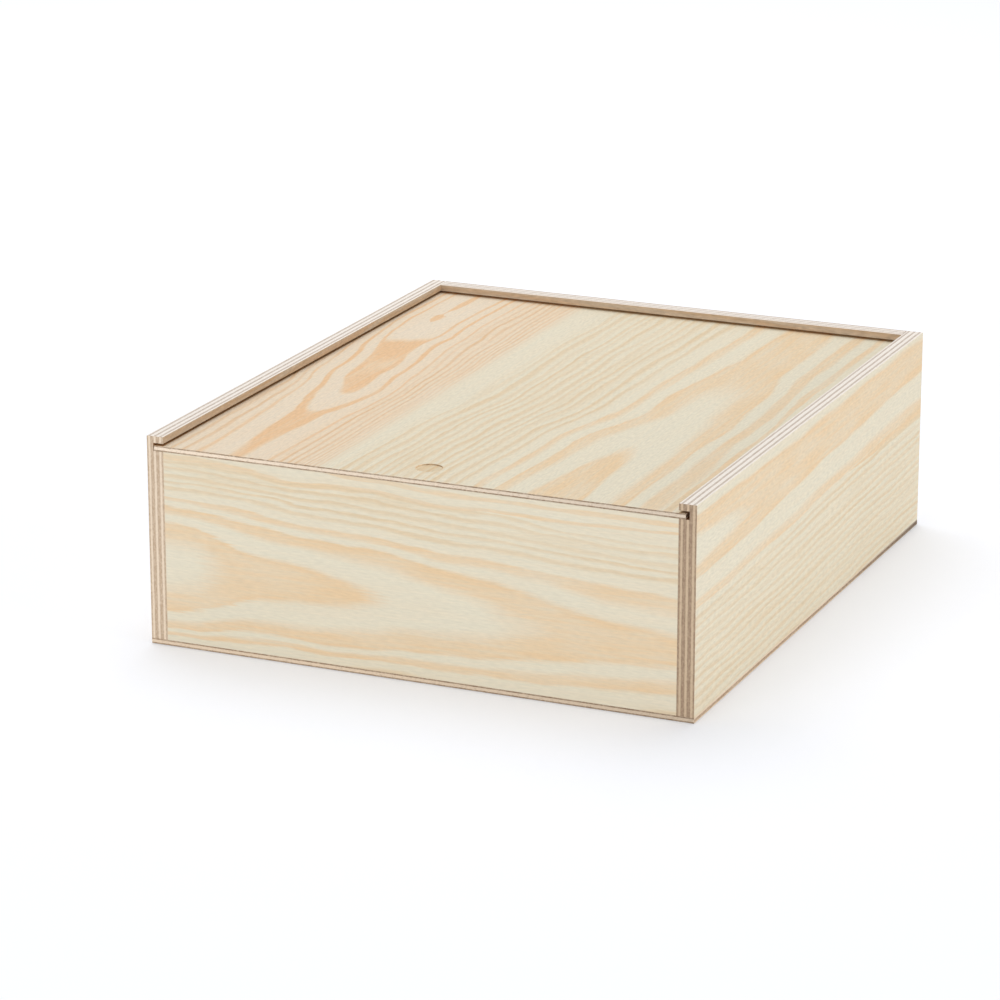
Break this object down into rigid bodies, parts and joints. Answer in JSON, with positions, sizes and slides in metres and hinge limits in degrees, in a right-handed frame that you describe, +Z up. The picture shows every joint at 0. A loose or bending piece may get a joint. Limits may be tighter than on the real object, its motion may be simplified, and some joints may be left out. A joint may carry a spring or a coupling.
{
  "type": "wooden box with sliding lid",
  "caption": "Plywood box for papers and keepsakes, with a thin lid that slides out of grooves towards the front and a round finger recess.",
  "frame": {"origin": "centre of the footprint, on the surface that the box stands on", "axes": "+Z up, +Y from the front, where the lid slides out, to the back, +X to the right seen from the front"},
  "size_m": [0.3, 0.352, 0.112],
  "materials": {
    "wall_plywood": "sanded, unfinished",
    "thin_plywood": "sanded, unfinished",
    "beech": "plain",
    "steel": "bright wire"
  },
  "bodies": {
    "box": {"left_side": "wall_plywood", "right_side": "wall_plywood", "front_panel": "wall_plywood", "back_panel": "wall_plywood", "bottom_panel": "thin_plywood", "corner_dowels": "beech", "bottom_brads": "steel"},
    "lid": {"lid": "thin_plywood"}
  },
  "joints": [
    {"name": "lid_slide", "type": "slide", "parent": "box", "child": "lid", "axis": [0, -1, 0], "range_m": [0, 0.36]}
  ]
}
